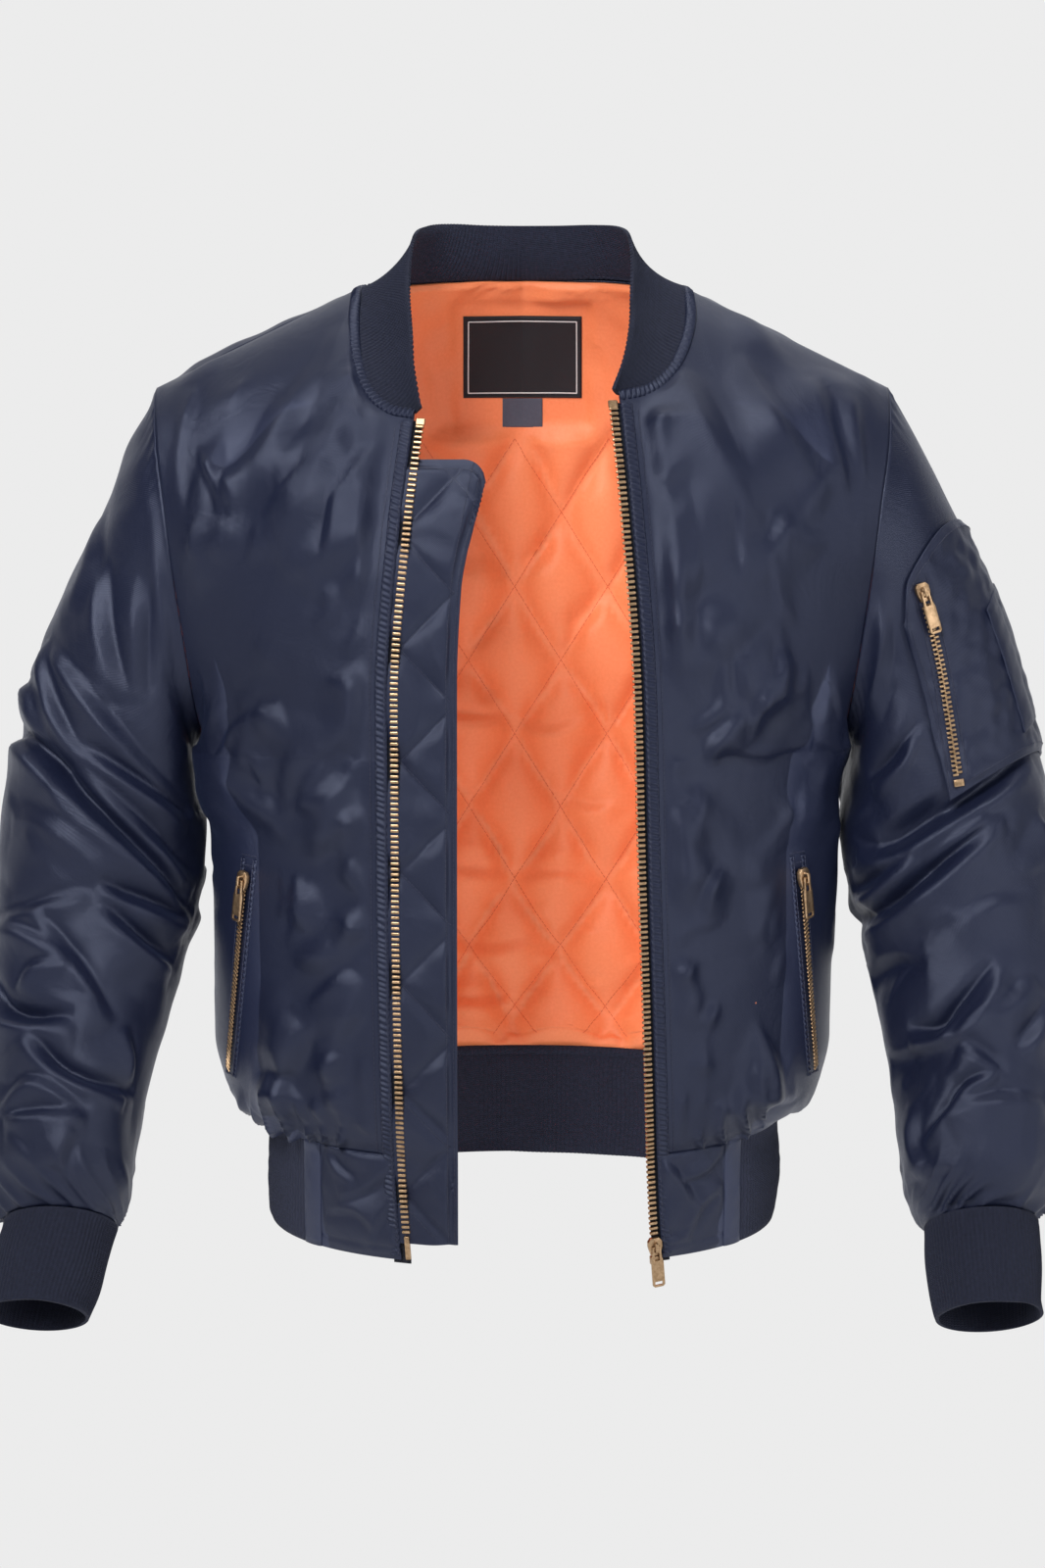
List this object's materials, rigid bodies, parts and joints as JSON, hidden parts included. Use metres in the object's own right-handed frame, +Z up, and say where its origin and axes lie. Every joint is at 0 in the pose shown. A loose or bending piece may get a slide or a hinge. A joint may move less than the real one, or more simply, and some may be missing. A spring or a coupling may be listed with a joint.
{
  "type": "bomber jacket",
  "caption": "Satin flight jacket worn open and hollow, with rib collar, cuffs and waistband, a quilted lining, and zips with hinged pull tabs.",
  "frame": {"origin": "midway between the two points where the collar meets the shoulder seams", "axes": "+Z up, the wearer faces -Y, the wearer's left side is at +X"},
  "size_m": [0.762, 0.3125, 0.7596],
  "materials": {
    "satin": "navy nylon satin, fine twill weave, soft sheen",
    "rib": "navy rib knit, matt",
    "lining": "orange nylon lining, quilted in diamonds",
    "label": "black woven label with a thin pale frame line, otherwise bare",
    "size_tab": "slate woven tab, bare",
    "zip_tape": "dark woven zip tape",
    "brass": "antique brass zip metal"
  },
  "bodies": {
    "jacket": {"back": "satin", "lining_back": "lining", "front_right": "satin", "lining_right": "lining", "sleeve_right": "satin", "front_left": "satin", "lining_left": "lining", "sleeve_left": "satin", "cuff_right": "rib", "cuff_left": "rib", "collar": "rib", "hem_right": "satin", "hem_strip_right": "satin", "hem_left": "satin", "hem_strip_left": "satin", "hem_rib": "rib", "wind_flap": "satin", "label": "label", "size_tab": "size_tab", "zip_tape_right": "zip_tape", "zip_teeth_right": "brass", "zip_tape_left": "zip_tape", "zip_teeth_left": "brass", "front_zip_slider": "brass", "zip_box": "brass", "zip_pin": "brass", "pocket_welt_right": "satin", "pocket_teeth_right": "brass", "pocket_right_slider": "brass", "pocket_welt_left": "satin", "pocket_teeth_left": "brass", "pocket_left_slider": "brass", "sleeve_pocket": "satin", "pen_strip": "satin", "sleeve_teeth": "brass", "sleeve_slider": "brass", "sleeve_stop": "brass"},
    "front_zip_pull_tab": {"front_zip_pull": "brass"},
    "pocket_right_pull_tab": {"pocket_right_pull": "brass"},
    "pocket_left_pull_tab": {"pocket_left_pull": "brass"},
    "sleeve_pull_tab": {"sleeve_pull": "brass"}
  },
  "joints": [
    {"name": "front_zip_pull_hinge", "type": "hinge", "parent": "jacket", "child": "front_zip_pull_tab", "pos_m": [0.09274, -0.10924, -0.66237], "axis": [-0.9483, -0.2954, -0.1159], "range_deg": [0, 150]},
    {"name": "pocket_right_pull_hinge", "type": "hinge", "parent": "jacket", "child": "pocket_right_pull_tab", "pos_m": [-0.19543, -0.08126, -0.40904], "axis": [-0.6832, 0.7124, 0.1606], "range_deg": [0, 150]},
    {"name": "pocket_left_pull_hinge", "type": "hinge", "parent": "jacket", "child": "pocket_left_pull_tab", "pos_m": [0.19641, -0.08023, -0.40704], "axis": [-0.6774, -0.7216, -0.1426], "range_deg": [0, 150]},
    {"name": "sleeve_pull_hinge", "type": "hinge", "parent": "jacket", "child": "sleeve_pull_tab", "pos_m": [0.27504, -0.07526, -0.20996], "axis": [-0.9, -0.3395, -0.2735], "range_deg": [0, 150]}
  ]
}
